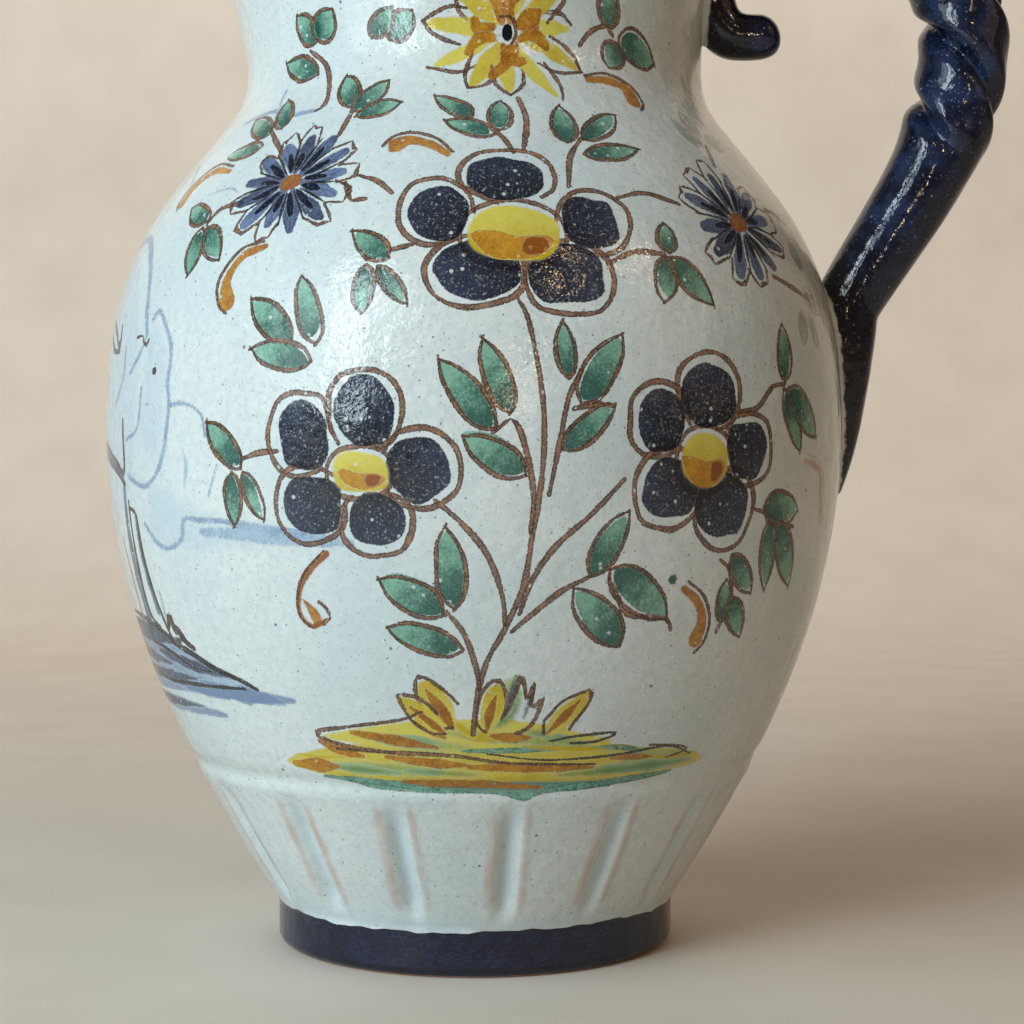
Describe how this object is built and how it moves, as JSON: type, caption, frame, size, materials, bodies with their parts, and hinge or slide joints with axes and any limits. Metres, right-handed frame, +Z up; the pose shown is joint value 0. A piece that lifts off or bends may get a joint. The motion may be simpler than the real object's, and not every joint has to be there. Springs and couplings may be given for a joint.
{
  "type": "ceramic jug",
  "caption": "Glazed ceramic jug with a fluted lower body, a round belly, a waisted neck with a spout and a twisted rope handle.",
  "frame": {"origin": "on the jug's turned axis, at the centre of the foot's flat underside", "axes": "+Z up along the turned axis, +X towards the handle, -X towards the spout, and -Y towards the painted spray of flowers"},
  "size_m": [0.235, 0.1898, 0.288],
  "materials": {
    "glaze": "gloss"
  },
  "bodies": {
    "root": {"jug": "glaze"}
  },
  "joints": []
}
